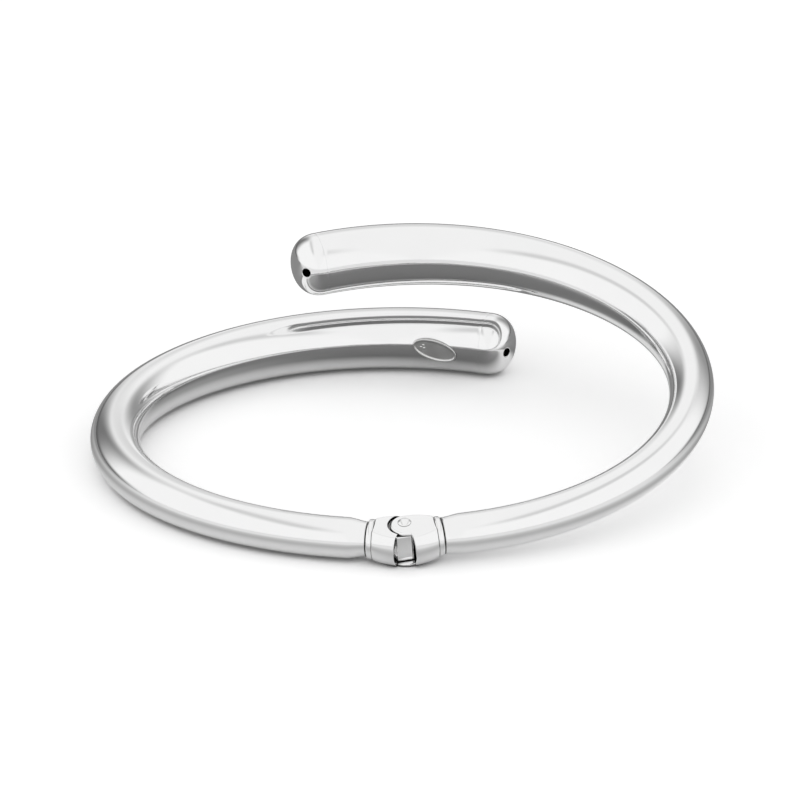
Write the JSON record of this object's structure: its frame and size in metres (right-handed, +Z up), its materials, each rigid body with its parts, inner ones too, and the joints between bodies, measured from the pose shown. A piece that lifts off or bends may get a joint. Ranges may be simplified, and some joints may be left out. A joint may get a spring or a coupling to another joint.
{
  "type": "hinged crossover bangle",
  "caption": "Polished silver bangle of tapering round tube that opens on a sprung front hinge; its domed tips pass one above the other at the back.",
  "frame": {"origin": "middle of the footprint, on the surface that the bangle lies on", "axes": "+X from the left arm to the right arm, +Y from the front hinge towards the crossing tips, +Z up"},
  "size_m": [0.0684, 0.0599, 0.0181],
  "materials": {
    "polished_silver": "mirror polished sterling silver",
    "satin_silver": "satin sterling silver, struck",
    "spring_steel": "bright spring steel, hidden"
  },
  "bodies": {
    "left_half": {"left_arm_tube": "polished_silver", "left_tip_cap": "polished_silver", "hallmark_plate": "satin_silver", "left_rim_ring": "polished_silver", "left_hinge_collar": "polished_silver"},
    "right_half": {"right_arm_tube": "polished_silver", "right_tip_cap": "polished_silver", "right_rim_ring": "polished_silver", "right_hinge_collar": "polished_silver", "hinge_pin": "polished_silver", "hinge_spring": "spring_steel", "spring_plug": "spring_steel"},
    "plunger": {"hinge_plunger": "spring_steel"}
  },
  "joints": [
    {"name": "opening", "type": "hinge", "parent": "left_half", "child": "right_half", "pos_m": [0.00067, -0.02668, 0.00247], "axis": [-0.0398, -0.2247, 0.9736], "range_deg": [-38, 0], "stiffness_Nm_per_rad": 0.0029, "springref_deg": 100.84},
    {"name": "plunger_slide", "type": "slide", "parent": "right_half", "child": "plunger", "axis": [0.98, 0.1811, 0.0819], "range_m": [0, 0.00085], "deforming": ["hinge_spring"]}
  ],
  "couplings": [
    {"joint": "plunger_slide", "follows": "opening", "m_per_rad": -0.00127}
  ]
}
